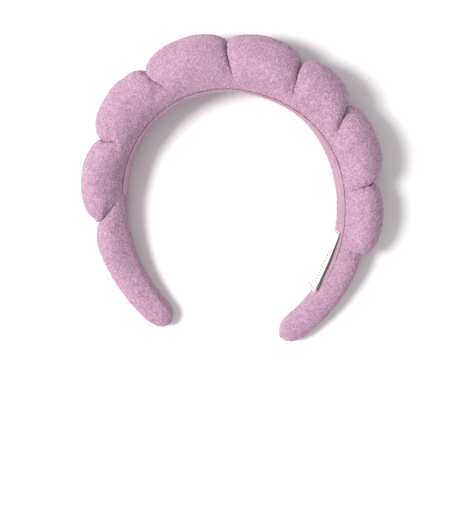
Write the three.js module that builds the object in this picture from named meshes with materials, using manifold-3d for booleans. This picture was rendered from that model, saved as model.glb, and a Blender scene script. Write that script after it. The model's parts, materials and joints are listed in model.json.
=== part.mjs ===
// Spa headband: a sprung plastic C-shaped hoop, padded with foam and sleeved in terry cloth.
// Tight gathers pinch the sleeve into seven puffed lobes between two plain tapering tails.
// It lies on its side, as on a table. Millimetres, +Z up, crown towards +Y, tips towards -Y.
// The origin is the middle of the bottom of the bounding box.

import * as THREE from 'three';
import { mergeVertices } from 'three/addons/utils/BufferGeometryUtils.js';
import Module from 'manifold-3d';

const wasm = await Module();
wasm.setup();

// ---- Driving dimensions -------------------------------------------------------------------

// The hoop's plan is a crown arc and, tangent to it on each side, a flatter leg arc.
// These radii are to the face that touches the head.
const CROWN_RADIUS = 68.6;
const CROWN_HALF_ARC = 86.5;         // length along the crown arc, from the middle to a leg
const LEG_RADIUS = 92.4;
const LEG_ARC = 115;                 // length along a leg arc, down to the tip

// The band's section: half-width across the head, and height out from the head.
const CROWN = { halfWidth: 18, height: 28 };
const SHOULDER = { halfWidth: 11.2, height: 18.5 };
const TIP = { halfWidth: 8.5, height: 18.5 };
const SHOULDER_AT = 0.62;            // shares of the way from the middle to a tip
const TAPER_FROM = 0.5;
const TIP_ROUND = 10;                // length of the rounded end

// Each gather's place along the hoop from its middle, + towards the right leg, and how far
// each lobe between two gathers puffs out past them.
const GATHERS = [-128, -83, -44, -5, 29, 57, 95, 133];
const LOBE_RISE = [10.5, 11, 10, 8.3, 9.5, 11, 9.5];
const TAIL_RISE = { left: 5.6, right: 1.8 };   // puff of a tail, just below its last gather
const VALLEY = 2.4;                  // floor of a gather, along the hoop
const LOBE_FULLNESS = 0.62;          // under 1 gives a lobe steep flanks and a broad top
const LOBE_ROUNDNESS = 2.3;          // over 2 flattens a lobe's top
const TAIL_SWELL = 6;                // a tail reaches its full puff in a sixth of its length
const WIDEST_AT = 0.42;              // share of the section's height where it is widest
const CREST_POWER = 0.91;            // under 1 makes the crest a little squarer than an ellipse
const PUFF_FROM = { full: 0.9, power: 0.8 };   // how the puff grows from the face to the crest

// Layers, from the head outwards.
const LINING_THICK = 0.9;
const COVER_THICK = 1.0;
const HOOP_THICK = 1.8;
const CLEARANCE = 0.3;               // between any two pieces that touch
const CORNER = 6.5;                  // the band's inner corners at the crown
const LIP_SHARE = 0.4;               // part of the flat inner face that the sleeve's lips take
const HOOP_INSET = 0.8;              // the hoop's edge, in from the flat inner face's edge
const HOOP_END = 9;                  // the hoop stops this far short of the sleeve's tip
const LINING_END = 7;

const THREAD_RADIUS = 0.45;
const SEAM_RADIUS = 0.4;
const STITCH = { length: 3.2, width: 1.2, thick: 0.7 };

const LABEL = { length: 42, width: 13, thick: 0.4, centre: 143.5 };   // centre: along the hoop
const TACK = { length: 1.2, overhang: 0.8, thick: 0.5 };

const SETTLE = 1.3;                  // how far the padding is squashed where it rests

// Mesh fineness.
const CORNER_STEPS = 3;
const CREST_STEPS = 6;
const LOBE_STATIONS = [0, 0.05, 0.15, 0.32, 0.5, 0.68, 0.85, 0.95, 1];
const TAIL_STATIONS = [0, 0.06, 0.17, 0.3, 0.44, 0.58, 0.72, 0.86, 1];
const TIP_STATIONS = [0.3, 0.6, 0.82, 0.96];
const STRIP_STEP = 7;
const CORD_HALF_SIDES = 3;
const WELD = 1e-4;

// ---- Finishes -----------------------------------------------------------------------------

const finish = (color, roughness) =>
  new THREE.MeshStandardMaterial({ color, roughness, metalness: 0 });
const TERRY = finish(0xc59fb5, 0.95);
const LINING_CLOTH = finish(0xe1bed2, 0.9);
const FOAM = finish(0xf1ead9, 0.9);
const HOOP_PLASTIC = finish(0xe9e6e2, 0.45);
const THREAD = finish(0xb78ca6, 0.8);
const LABEL_RIBBON = finish(0xf4f1ea, 0.7);

// ---- The band's shape ---------------------------------------------------------------------

const HALF_LENGTH = CROWN_HALF_ARC + LEG_ARC;
const COVER_FACE = LINING_THICK + CLEARANCE;             // the sleeve's inner face
const HOOP_FACE = COVER_FACE + COVER_THICK + CLEARANCE;  // the hoop's inner face
const FOAM_FACE = HOOP_FACE + HOOP_THICK + CLEARANCE;
const FOAM_INSET = COVER_THICK + CLEARANCE;

const clamp01 = (t) => Math.min(Math.max(t, 0), 1);
const smooth = (t) => clamp01(t) ** 2 * (3 - 2 * clamp01(t));
const shareOf = (s) => Math.abs(s) / HALF_LENGTH;

// Goes from the crown's size to the shoulder's and on to the tip's, along the hoop.
function taper(key, s) {
  const share = shareOf(s);
  const toShoulder = smooth(share / SHOULDER_AT);
  const toTip = smooth((share - TAPER_FROM) / (1 - TAPER_FROM));
  return CROWN[key] + (SHOULDER[key] - CROWN[key]) * toShoulder
    + (TIP[key] - SHOULDER[key]) * toTip;
}

// Half the width of the flat inner face, which the lining covers.
function flatHalf(s) {
  const halfWidth = taper('halfWidth', s);
  return halfWidth - CORNER * halfWidth / CROWN.halfWidth;
}

// How far the padding puffs out at s. It is nothing at a gather.
function puff(s) {
  const next = GATHERS.findIndex((gather) => gather > s);
  if (next > 0) {
    const [from, to] = [GATHERS[next - 1] + VALLEY / 2, GATHERS[next] - VALLEY / 2];
    const across = clamp01((s - from) / (to - from));
    return LOBE_RISE[next - 1] * (1 - Math.abs(2 * across - 1) ** LOBE_ROUNDNESS) ** LOBE_FULLNESS;
  }
  const last = next === 0 ? GATHERS[0] : GATHERS.at(-1);
  const rise = next === 0 ? TAIL_RISE.left : TAIL_RISE.right;
  const along = clamp01((Math.abs(s - last) - VALLEY / 2) / (HALF_LENGTH - Math.abs(last)));
  return rise * Math.min(1, TAIL_SWELL * along) ** LOBE_FULLNESS * (1 - along);
}

// A point of the hoop's plan at length s from its middle, with the direction outwards.
function plan(s) {
  const side = Math.sign(s) || 1;
  const onCrown = Math.min(Math.abs(s), CROWN_HALF_ARC) / CROWN_RADIUS;
  const onLeg = Math.max(Math.abs(s) - CROWN_HALF_ARC, 0) / LEG_RADIUS;
  const turn = onCrown + onLeg;
  const offset = onLeg > 0 ? CROWN_RADIUS - LEG_RADIUS : 0;
  const radius = onLeg > 0 ? LEG_RADIUS : CROWN_RADIUS;
  const shoulder = CROWN_HALF_ARC / CROWN_RADIUS;
  return {
    x: side * (offset * Math.sin(shoulder) + radius * Math.sin(turn)),
    y: offset * Math.cos(shoulder) + radius * Math.cos(turn),
    outX: side * Math.sin(turn),
    outY: Math.cos(turn),
  };
}

// The band lies tilted, so that the wide crown and the narrow tips both rest on the table.
const crownDrop = CROWN.halfWidth + Math.max(...LOBE_RISE) / 2;
const tipPlan = plan(HALF_LENGTH);
const TILT = Math.asin((crownDrop - TIP.halfWidth) / (CROWN_RADIUS + CROWN.height - tipPlan.y));
const LIFT = TIP.halfWidth - SETTLE - tipPlan.y * Math.sin(TILT);

// Sets a point that is out from the head and across the band, at length s, into the lying
// pose. Cloth and padding flatten against the table, each layer `above` it by its own depth.
function place(s, out, across, above = 0) {
  const at = plan(s);
  const point = new THREE.Vector3(at.x + out * at.outX, at.y + out * at.outY, across);
  point.applyAxisAngle(new THREE.Vector3(1, 0, 0), TILT);
  point.z = Math.max(point.z + LIFT, above);
  return point;
}

// Half of the section's outline, after the middle of the flat inner face: a rounded corner,
// then the crest. Each entry is the angle from the band's side towards the crest.
const QUARTER = Math.PI / 2;
const TURNS = [
  ...Array.from({ length: CORNER_STEPS }, (_, i) => QUARTER * (i / CORNER_STEPS - 1)),
  ...Array.from({ length: CREST_STEPS + 1 }, (_, i) => QUARTER * i / CREST_STEPS),
];
const SIDES = 2 * TURNS.length;

// The section's outline at step k of SIDES, drawn in from the sleeve's surface by `inset`.
function outline(s, k, inset) {
  const step = k <= SIDES / 2 ? k : SIDES - k;
  const side = k <= SIDES / 2 ? 1 : -1;
  const halfWidth = taper('halfWidth', s) - inset;
  const flat = flatHalf(s);
  const crest = taper('height', s) - inset;
  const face = COVER_FACE + inset;
  const sideAt = face + (crest - face) * WIDEST_AT;
  if (step === 0) return { out: face, across: 0 };
  const turn = TURNS[step - 1];
  const [cos, sin] = [Math.cos(turn), Math.sin(turn)];
  const upper = sin >= 0;
  const width = upper ? halfWidth * cos ** CREST_POWER : flat + (halfWidth - flat) * cos;
  const depth = upper ? (crest - sideAt) * sin ** CREST_POWER : (sideAt - face) * sin;
  const climb = (sideAt + depth - face) / (crest - face);
  const rise = smooth(climb / PUFF_FROM.full) ** PUFF_FROM.power * puff(s);
  const normal = new THREE.Vector2(sin * halfWidth, cos * crest).normalize();
  return {
    out: sideAt + depth + rise * Math.max(normal.x, 0),
    across: side * (width + rise * normal.y),
  };
}

// ---- Solids -------------------------------------------------------------------------------

// A closed tube of rings: a cylinder's grid, each vertex moved to where ringPoint(s, k) says.
function tubeOf(stations, sides, ringPoint, centrePoint) {
  const geometry = new THREE.CylinderGeometry(1, 1, 1, sides, stations.length - 1);
  const position = geometry.getAttribute('position');
  for (let i = 0; i < position.count; i += 1) {
    const [x, y, z] = [position.getX(i), position.getY(i), position.getZ(i)];
    const s = stations[Math.round((0.5 - y) * (stations.length - 1))];
    const onAxis = Math.hypot(x, z) < 0.5;
    const k = Math.round(Math.atan2(x, z) / (2 * Math.PI) * sides + sides) % sides;
    const point = onAxis ? centrePoint(s) : ringPoint(s, k);
    position.setXYZ(i, point.x, point.y, point.z);
  }
  geometry.deleteAttribute('normal');
  geometry.deleteAttribute('uv');
  return facingOut(mergeVertices(geometry, WELD));
}

// Turns every triangle over if the closed geometry is inside out.
function facingOut(geometry) {
  const position = geometry.getAttribute('position');
  const index = geometry.getIndex().array;
  const [a, b, c] = [new THREE.Vector3(), new THREE.Vector3(), new THREE.Vector3()];
  let volume = 0;
  for (let i = 0; i < index.length; i += 3) {
    [a, b, c].forEach((corner, j) => corner.fromBufferAttribute(position, index[i + j]));
    volume += a.dot(b.clone().cross(c));
  }
  if (volume < 0) {
    for (let i = 0; i < index.length; i += 3) {
      [index[i], index[i + 1]] = [index[i + 1], index[i]];
    }
  }
  return geometry;
}

function toSolid(geometry) {
  return new wasm.Manifold(new wasm.Mesh({
    numProp: 3,
    vertProperties: Float32Array.from(geometry.getAttribute('position').array),
    triVerts: Uint32Array.from(geometry.getIndex().array),
  }));
}

function toGeometry(solid) {
  const mesh = solid.getMesh();
  const geometry = new THREE.BufferGeometry();
  geometry.setAttribute('position', new THREE.BufferAttribute(mesh.vertProperties, 3));
  geometry.setIndex(new THREE.BufferAttribute(mesh.triVerts, 1));
  return geometry;
}

// Padding of the band's own section between two stations, `inset` below the sleeve's surface.
// Its head side is flattened to `face`.
function padding(stations, inset, face) {
  const ends = HALF_LENGTH - inset;
  const shrink = (s) => {
    const left = clamp01((ends - Math.abs(s)) / (TIP_ROUND - inset));
    return Math.sqrt(1 - (1 - left) ** 2);
  };
  const middle = (s) => (COVER_FACE + taper('height', s)) / 2;
  const ringPoint = (s, k) => {
    const { out, across } = outline(s, k, inset);
    const centre = middle(s);
    return place(s, centre + (Math.max(out, face) - centre) * shrink(s), across * shrink(s), inset);
  };
  return tubeOf(stations, SIDES, ringPoint, (s) => place(s, middle(s), 0, inset));
}

// A flat strip along the hoop, of one thickness, with its half-width given by a function.
function strip(stations, face, thick, halfWidth) {
  const corners = [[0, -1], [0, 1], [1, 1], [1, -1]];
  const ringPoint = (s, k) => place(s, face + corners[k][0] * thick, corners[k][1] * halfWidth(s));
  return tubeOf(stations, corners.length, ringPoint, (s) => place(s, face + thick / 2, 0));
}

// A round thread along a smooth path through the points.
function thread(points, radius) {
  const section = new THREE.Shape().absarc(0, 0, radius, 0, 2 * Math.PI);
  const extrudePath = new THREE.CatmullRomCurve3(points);
  const steps = points.length - 1;
  return new THREE.ExtrudeGeometry(section, { extrudePath, steps, curveSegments: CORD_HALF_SIDES });
}

// A thin bar that runs from one point to another, with its width across the band.
function bar(from, to, width, thick) {
  const along = to.clone().sub(from);
  const geometry = new THREE.BoxGeometry(along.length(), width, thick);
  const across = place(0, 0, 1).sub(place(0, 0, 0));
  const through = along.clone().normalize().cross(across);
  const turned = new THREE.Matrix4().makeBasis(along.clone().normalize(), across, through);
  return geometry.applyMatrix4(turned.setPosition(from.clone().add(to).divideScalar(2)));
}

// ---- Stations along the band --------------------------------------------------------------

const lobeStations = (lobe) => {
  const [from, to] = [GATHERS[lobe] + VALLEY / 2, GATHERS[lobe + 1] - VALLEY / 2];
  return LOBE_STATIONS.map((share) => from + (to - from) * share);
};

// From a tail's gather to the start of the tip's rounding, then round the end.
const tailStations = (side, endInset) => {
  const from = Math.abs(side < 0 ? GATHERS[0] : GATHERS.at(-1)) + VALLEY / 2;
  const to = HALF_LENGTH - TIP_ROUND;
  const straight = TAIL_STATIONS.map((share) => side * (from + (to - from) * share));
  const round = TIP_STATIONS.map((share) => side * (to + (TIP_ROUND - endInset) * share));
  return [...straight, ...round];
};

// Even steps along the hoop from one length to another.
const evenStations = (from, to) => {
  const count = Math.ceil((to - from) / STRIP_STEP);
  return Array.from({ length: count + 1 }, (_, i) => from + (to - from) * i / count);
};

const bothSides = (end) => evenStations(-end, end);

// ---- Pieces -------------------------------------------------------------------------------

const group = new THREE.Group();

function add(name, geometry, material) {
  const mesh = new THREE.Mesh(geometry, material);
  mesh.name = name;
  group.add(mesh);
}

// The sprung C-shaped hoop, a flat moulded strip.
function hoop() {
  const halfWidth = (s) => flatHalf(s) - HOOP_INSET;
  return strip(bothSides(HALF_LENGTH - HOOP_END), HOOP_FACE, HOOP_THICK, halfWidth);
}

// One half of the sleeve, from a tip to the gather where the halves meet. It wraps the foam
// and turns in under the hoop's edges as two lips, with a slot between them.
const MEETING = GATHERS[3];

function coverHalf(side) {
  const lobes = side < 0 ? [2, 1, 0] : [3, 4, 5, 6];
  const fromMeeting = (gap) => MEETING + side * gap;
  const along = (endInset, start) => {
    const stations = lobes.flatMap((lobe) => {
      const list = lobeStations(lobe);
      return side < 0 ? list.reverse() : list;
    });
    const all = [start, ...stations, ...tailStations(side, endInset)];
    return side < 0 ? all.reverse() : all;
  };
  const outer = toSolid(padding(along(0, fromMeeting(CLEARANCE / 2)), 0, COVER_FACE));
  const inner = toSolid(
    padding(along(COVER_THICK, fromMeeting(-VALLEY / 2)), COVER_THICK, COVER_FACE + COVER_THICK),
  );
  const slotHalf = (s) => flatHalf(s) * (1 - LIP_SHARE);
  const slotEnd = HALF_LENGTH - 1.5 * LINING_END;
  const slotFrom = COVER_FACE - COVER_THICK;
  const slot = toSolid(strip(bothSides(slotEnd), slotFrom, 3 * COVER_THICK, slotHalf));
  return toGeometry(outer.subtract(inner).subtract(slot));
}

// The ribbon that lines the head side, over the sleeve's lips.
const liningHalf = (s) => flatHalf(s) - 2 * SEAM_RADIUS - CLEARANCE;

function lining() {
  return strip(bothSides(HALF_LENGTH - LINING_END), 0, LINING_THICK, liningHalf);
}

// The row of stitching beside one edge of the lining.
function liningSeam(side) {
  const out = COVER_FACE - CLEARANCE - SEAM_RADIUS;
  const across = (s) => side * (liningHalf(s) + CLEARANCE + SEAM_RADIUS);
  const stations = bothSides(HALF_LENGTH - LINING_END);
  return thread(stations.map((s) => place(s, out, across(s))), SEAM_RADIUS);
}

// The thread that draws a gather tight, round the crest from corner to corner.
function gatherThread(s) {
  const lifted = -(CLEARANCE + THREAD_RADIUS);
  const firstStep = 2;
  const steps = Array.from({ length: SIDES + 1 - 2 * firstStep }, (_, i) => i + firstStep);
  const points = steps.map((k) => {
    const { out, across } = outline(s, k, lifted);
    return place(s, out, across, CLEARANCE + THREAD_RADIUS);
  });
  return thread(points, THREAD_RADIUS);
}

// The woven label, a ribbon pulled straight between its two ends on the right leg's lining.
const labelEnds = [-1, 1].map((end) => LABEL.centre + end * LABEL.length / 2);

function label() {
  const out = -(CLEARANCE + LABEL.thick / 2);
  const [from, to] = labelEnds.map((s) => place(s, out, 0));
  return bar(from, to, LABEL.width, LABEL.thick);
}

// The bar of stitches that holds one end of the label down.
function labelTack(end) {
  const inward = end < 0 ? 1 : -1;
  const out = -(2 * CLEARANCE + LABEL.thick + TACK.thick / 2);
  const start = labelEnds[end < 0 ? 0 : 1] + inward * TACK.length;
  const lift = 2 * TACK.length * Math.sin(LABEL.length / 2 / LEG_RADIUS);
  const [from, to] = [start, start + TACK.length].map((s) => place(s, out - lift, 0));
  return bar(from, to, LABEL.width + 2 * TACK.overhang, TACK.thick);
}

// The stitch that closes the sleeve at a tip.
function tipStitch(side) {
  const end = HALF_LENGTH - TIP_ROUND * (1 - TIP_STATIONS.at(-1));
  const out = (COVER_FACE + taper('height', end)) / 2;
  const [from, to] = [0, STITCH.thick].map((s) => place(side * (end + CLEARANCE + s), out, 0));
  return bar(from, to, STITCH.width, STITCH.length);
}

add('hoop', hoop(), HOOP_PLASTIC);
add('foam_tail_left', padding(tailStations(-1, FOAM_INSET).reverse(), FOAM_INSET, FOAM_FACE), FOAM);
for (let lobe = 0; lobe < LOBE_RISE.length; lobe += 1) {
  add(`foam_lobe_${lobe + 1}`, padding(lobeStations(lobe), FOAM_INSET, FOAM_FACE), FOAM);
}
add('foam_tail_right', padding(tailStations(1, FOAM_INSET), FOAM_INSET, FOAM_FACE), FOAM);
add('terry_cover_left', coverHalf(-1), TERRY);
add('terry_cover_right', coverHalf(1), TERRY);
add('inner_lining', lining(), LINING_CLOTH);
add('lining_seam_front', liningSeam(1), THREAD);
add('lining_seam_back', liningSeam(-1), THREAD);
GATHERS.forEach((s, i) => add(`gather_thread_${i + 1}`, gatherThread(s), THREAD));
add('tip_stitch_left', tipStitch(-1), THREAD);
add('tip_stitch_right', tipStitch(1), THREAD);
add('label_ribbon', label(), LABEL_RIBBON);
add('label_tack_upper', labelTack(-1), THREAD);
add('label_tack_lower', labelTack(1), THREAD);

// Bring the middle of the bounding box's bottom to the origin.
const box = new THREE.Box3().setFromObject(group);
const middle = box.getCenter(new THREE.Vector3());
group.position.set(-middle.x, -middle.y, -box.min.z);

export default group;
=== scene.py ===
"""A puffy terry cloth spa headband, lying on its side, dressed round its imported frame."""

import json
import logging
import math
from dataclasses import dataclass
from enum import Enum
from typing import Callable

import bmesh
import bpy
import numpy as np
from mathutils import Matrix, Vector


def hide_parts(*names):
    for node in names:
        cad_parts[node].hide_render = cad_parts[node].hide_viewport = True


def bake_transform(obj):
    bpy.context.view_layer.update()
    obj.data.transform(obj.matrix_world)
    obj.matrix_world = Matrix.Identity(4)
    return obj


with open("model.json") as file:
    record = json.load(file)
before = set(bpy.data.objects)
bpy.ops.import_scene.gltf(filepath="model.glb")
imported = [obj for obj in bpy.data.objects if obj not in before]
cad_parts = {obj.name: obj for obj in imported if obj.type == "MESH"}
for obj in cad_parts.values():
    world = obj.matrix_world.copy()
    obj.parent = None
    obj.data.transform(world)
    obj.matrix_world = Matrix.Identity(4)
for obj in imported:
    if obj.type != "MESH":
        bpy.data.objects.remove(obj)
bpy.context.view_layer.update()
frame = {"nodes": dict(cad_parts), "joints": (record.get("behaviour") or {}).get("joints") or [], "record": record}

MM = 0.001
JOINT = frame["joints"][0]
STITCH_STEPS = (-1, -0.5, 0, 0.5, 1)

log = logging.getLogger("headband")


def smooth(share: float) -> float:
    """Returns a share eased at both ends, held between 0 and 1."""
    held = min(max(share, 0.0), 1.0)
    return held * held * (3 - 2 * held)


# ---- The band's shape --------------------------------------------------------------------


@dataclass(frozen=True)
class Spot:
    """A place on the band.

    Attributes:
        along: Length along the hoop from its middle, + towards the right leg.
        out: Distance out from the face that touches the head.
        across: Distance across the band, + upwards as it lies.
    """

    along: float
    out: float
    across: float


@dataclass(frozen=True)
class Plan:
    """The hoop's line in plan: a crown arc, and a flatter leg arc on each side of it."""

    crown_radius: float = 68.6 * MM
    crown_half_arc: float = 86.5 * MM
    leg_radius: float = 92.4 * MM
    leg_arc: float = 115 * MM
    hoop_middle: float = 3.4 * MM

    @property
    def half_length(self) -> float:
        """Returns the length from the middle of the hoop to a tip."""
        return self.crown_half_arc + self.leg_arc

    @property
    def crown_turn(self) -> float:
        """Returns the angle that half the crown arc turns through."""
        return self.crown_half_arc / self.crown_radius

    @property
    def leg_centre(self) -> Vector:
        """Returns the right leg arc's centre, in plan."""
        offset = self.crown_radius - self.leg_radius
        return Vector((offset * math.sin(self.crown_turn), offset * math.cos(self.crown_turn), 0))

    def lying(self) -> Matrix:
        """Returns the turn and shift that lay the plan on the table, worked out from the joint.

        The frame's joint stands square to the plan, at the middle of the hoop's thickness.
        """
        axis = Vector(JOINT["axis"])
        turn = Matrix.Rotation(math.atan2(-axis.y, axis.z), 4, "X")
        apex = turn @ Vector((0, self.crown_radius + self.hoop_middle, 0))
        return Matrix.Translation(Vector(JOINT["pos_m"]) - apex) @ turn

    def point(self, spot: Spot) -> Vector:
        """Finds the flat plan's point for a spot on the band.

        Args:
            spot: A spot on the band.

        Returns:
            The point, in the plan's own frame.
        """
        side = -1 if spot.along < 0 else 1
        length = abs(spot.along)
        if length <= self.crown_half_arc:
            turn, radius, centre = length / self.crown_radius, self.crown_radius, Vector()
        else:
            turn = self.crown_turn + (length - self.crown_half_arc) / self.leg_radius
            radius, centre = self.leg_radius, self.leg_centre
        reach = radius + spot.out
        x = centre.x + reach * math.sin(turn)
        return Vector((side * x, centre.y + reach * math.cos(turn), spot.across))

    def spot(self, point: Vector) -> Spot:
        """Finds the spot on the band that a point of the flat plan is at.

        Args:
            point: A point in the plan's own frame.

        Returns:
            The spot.
        """
        side = -1 if point.x < 0 else 1
        x = abs(point.x)
        turn = math.atan2(x, point.y)
        if turn <= self.crown_turn:
            along = turn * self.crown_radius
            out = math.hypot(x, point.y) - self.crown_radius
        else:
            x, y = x - self.leg_centre.x, point.y - self.leg_centre.y
            along = self.crown_half_arc + (math.atan2(x, y) - self.crown_turn) * self.leg_radius
            out = math.hypot(x, y) - self.leg_radius
        return Spot(side * along, out, point.z)


@dataclass(frozen=True)
class Sizes:
    """The band's section at one place: its half-width, and its height out from the head."""

    half_width: float
    height: float


@dataclass(frozen=True)
class Padding:
    """The padded band's section along the hoop, with the lobes between its gathers.

    Attributes:
        gathers: Each gather's place along the hoop from its middle.
        leans: How far each gather runs along the hoop for each step in from the crest.
        reaches: How far in from the crest each gather's crease is sharp.
        rises: How far each lobe puffs out past its gathers.
        tail_rises: How far each tail puffs out, just below its last gather.
        lining: Share of the way round to the crest that the lining covers.
        lining_ends: Places along the hoop at which the lining runs in under the terry.
        hem: Length over which the terry closes over the lining there.
        narrowing: How much narrower the lining is where the terry covers it.
        lean_reach: How far in from the crest a gather leans, as a share of its reach.
        crease_reach: How far in a crease stays at its deepest, as a share of its reach.
        crease_fade: How much of a crease's depth is gone farther in.
        crease_run: Length over which that depth goes.
        tail_start: How steeply a tail's puff starts below its last gather.
        widest: Share of the height at which the section is widest.
        squaring: Power that squares off the section's round a little.
        puff_full: Share of the height at which a lobe's puff is at its fullest.
        puff_power: Power by which the puff grows up to there.
    """

    plan: Plan = Plan()
    crown: Sizes = Sizes(18 * MM, 28 * MM)
    shoulder: Sizes = Sizes(11.2 * MM, 18.5 * MM)
    tip: Sizes = Sizes(8.5 * MM, 18.5 * MM)
    shoulder_at: float = 0.62
    taper_from: float = 0.5
    corner_share: float = 6.5 / 18
    face: float = 1.2 * MM
    gathers: tuple[float, ...] = (-0.128, -0.083, -0.044, -0.005, 0.029, 0.057, 0.095, 0.133)
    leans: tuple[float, ...] = (1.1, 0.6, 0.55, 0.30, 0.30, 0.50, 0.15, -0.20)
    reaches: tuple[float, ...] = (0.010, 0.005, 0.012, 0.018, 0.016, 0.011, 0.012, 0.009)
    rises: tuple[float, ...] = (0.0112, 0.0116, 0.0100, 0.0083, 0.0095, 0.011, 0.0095)
    tail_rises: tuple[float, float] = (7.2 * MM, 1.8 * MM)
    fullness: float = 0.5
    roundness: float = 2.3
    tip_round: float = 10 * MM
    flat_turn: float = 0.18
    corner_turn: float = 0.40
    crowding: float = 0.72
    underside_lean: float = -0.3
    lining: float = 0.225
    lining_ends: tuple[float, float] = (-0.118, 0.168)
    hem: float = 14 * MM
    narrowing: float = 0.5
    lean_reach: float = 1.2
    crease_reach: float = 0.8
    crease_fade: float = 0.75
    crease_run: float = 9 * MM
    tail_start: float = 6.0
    widest: float = 0.42
    squaring: float = 0.91
    puff_full: float = 0.9
    puff_power: float = 0.8

    def taper(self, along: float) -> Sizes:
        """Finds the plain section's sizes, which go from crown to shoulder to tip.

        Args:
            along: Length along the hoop from its middle.

        Returns:
            The half-width and the height there.
        """
        share = abs(along) / self.plan.half_length
        first = smooth(share / self.shoulder_at)
        last = smooth((share - self.taper_from) / (1 - self.taper_from))

        def size(name: str) -> float:
            """Returns one of the two sizes, by its name."""
            crown, shoulder, tip = (getattr(at, name) for at in (self.crown, self.shoulder, self.tip))
            return crown + (shoulder - crown) * first + (tip - shoulder) * last

        return Sizes(size("half_width"), size("height"))

    def flat(self, along: float) -> float:
        """Returns half the width of the flat face that the lining covers."""
        return self.taper(along).half_width * (1 - self.corner_share)

    def covered(self, along: float) -> float:
        """Returns how far the terry covers the lining at a length along the hoop."""
        past = max(self.lining_ends[0] - along, along - self.lining_ends[1])
        return smooth(0.5 + past / self.hem)

    def lined(self, along: float) -> float:
        """Returns the share of the way round that the lining covers at a length along the hoop."""
        return self.lining * (1 - self.narrowing * self.covered(along))

    def shift(self, gather: int, inward: float, side: int) -> float:
        """Returns how far a gather has run along the hoop, at a distance in from the crest."""
        lean = self.leans[gather] * (1 if side > 0 else self.underside_lean)
        return lean * min(inward, self.lean_reach * self.reaches[gather])

    def depth(self, gather: int, inward: float) -> float:
        """Returns how deep a gather still is, from 1 at the crest, at a distance in from it."""
        faded = smooth((inward - self.crease_reach * self.reaches[gather]) / self.crease_run)
        return 1 - self.crease_fade * faded

    def gathered(self, length: float, inward: float, side: int) -> tuple[float, float]:
        """Finds where a ring lies along the hoop, and how far the padding puffs out there.

        Rings crowd together at the gathers, and follow them where they lean.

        Args:
            length: The ring's even length along the hoop.
            inward: Distance in from the crest.
            side: 1 above the middle of the band, -1 below.

        Returns:
            The ring's own place along the hoop, and the puff.
        """
        count = len(self.gathers)
        after = sum(gather <= length for gather in self.gathers)
        if 0 < after < count:
            first, last = self.gathers[after - 1], self.gathers[after]
            share = (length - first) / (last - first)
            share -= self.crowding * math.sin(2 * math.pi * share) / (2 * math.pi)
            start = first + self.shift(after - 1, inward, side)
            end = last + self.shift(after, inward, side)
            swing = 2 * share - 1
            near = after - 1 if swing < 0 else after
            profile = max(1 - abs(swing) ** self.roundness, 0.0) ** self.fullness
            kept = 1 - (1 - profile) * self.depth(near, inward)
            own = self.rises[after - 1]
            next_lobe = self.rises[near - 1 if near == after - 1 else near] if 0 < near < count - 1 else own
            rise = own + (next_lobe - own) * abs(swing) ** 4 / 2
            return start + (end - start) * share, rise * kept
        near = 0 if after == 0 else count - 1
        gather, tip = self.gathers[near], math.copysign(self.plan.half_length, self.gathers[near])
        share = min(max((length - gather) / (tip - gather), 0.0), 1.0)
        share -= self.crowding * math.sin(math.pi * share) / math.pi * (1 - share)
        start = gather + self.shift(near, inward, side)
        started = min(1.0, self.tail_start * share)
        swell = started**self.fullness * (1 - share)
        base = (1 - self.depth(near, inward)) * (1 - started) * self.rises[max(near - 1, 0)]
        return start + (tip - start) * share, self.tail_rises[min(near, 1)] * swell + base

    def surface(self, length: float, around: float, side: int, inset: float = 0.0) -> Spot:
        """Finds a spot on the padding's surface.

        Args:
            length: The ring's even length along the hoop from its middle.
            around: Share of the way round, 0 at the middle of the face and 1 at the crest.
            side: 1 above the middle of the band, -1 below.
            inset: Depth below the sleeve's surface.

        Returns:
            The spot, before the leg's roll.
        """
        sizes, flat = self.taper(length), self.flat(length)
        half, crest, face = sizes.half_width - inset, sizes.height - inset, self.face + inset
        side_at = face + (crest - face) * self.widest
        turn = (around - self.corner_turn) / (1 - self.corner_turn) * math.pi / 2
        if around < self.flat_turn:
            width, depth, turn = flat * around / self.flat_turn, face - side_at, -math.pi / 2
        elif around < self.corner_turn:
            share = (around - self.flat_turn) / (self.corner_turn - self.flat_turn)
            turn = (share - 1) * math.pi / 2
            width = flat + (half - flat) * math.cos(turn)
            depth = (side_at - face) * math.sin(turn)
        else:
            width = half * max(math.cos(turn), 0.0) ** self.squaring
            depth = (crest - side_at) * math.sin(turn) ** self.squaring
        climb = (side_at + depth - face) / (crest - face)
        along, puff = self.gathered(length, (1 - climb) * (crest - face), side)
        rise = smooth(climb / self.puff_full) ** self.puff_power * puff
        normal = Vector((math.sin(turn) * half, math.cos(turn) * crest)).normalized()
        out = side_at + depth + rise * max(normal.x, 0.0)
        return Spot(along, out, side * (width + rise * normal.y))


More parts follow.
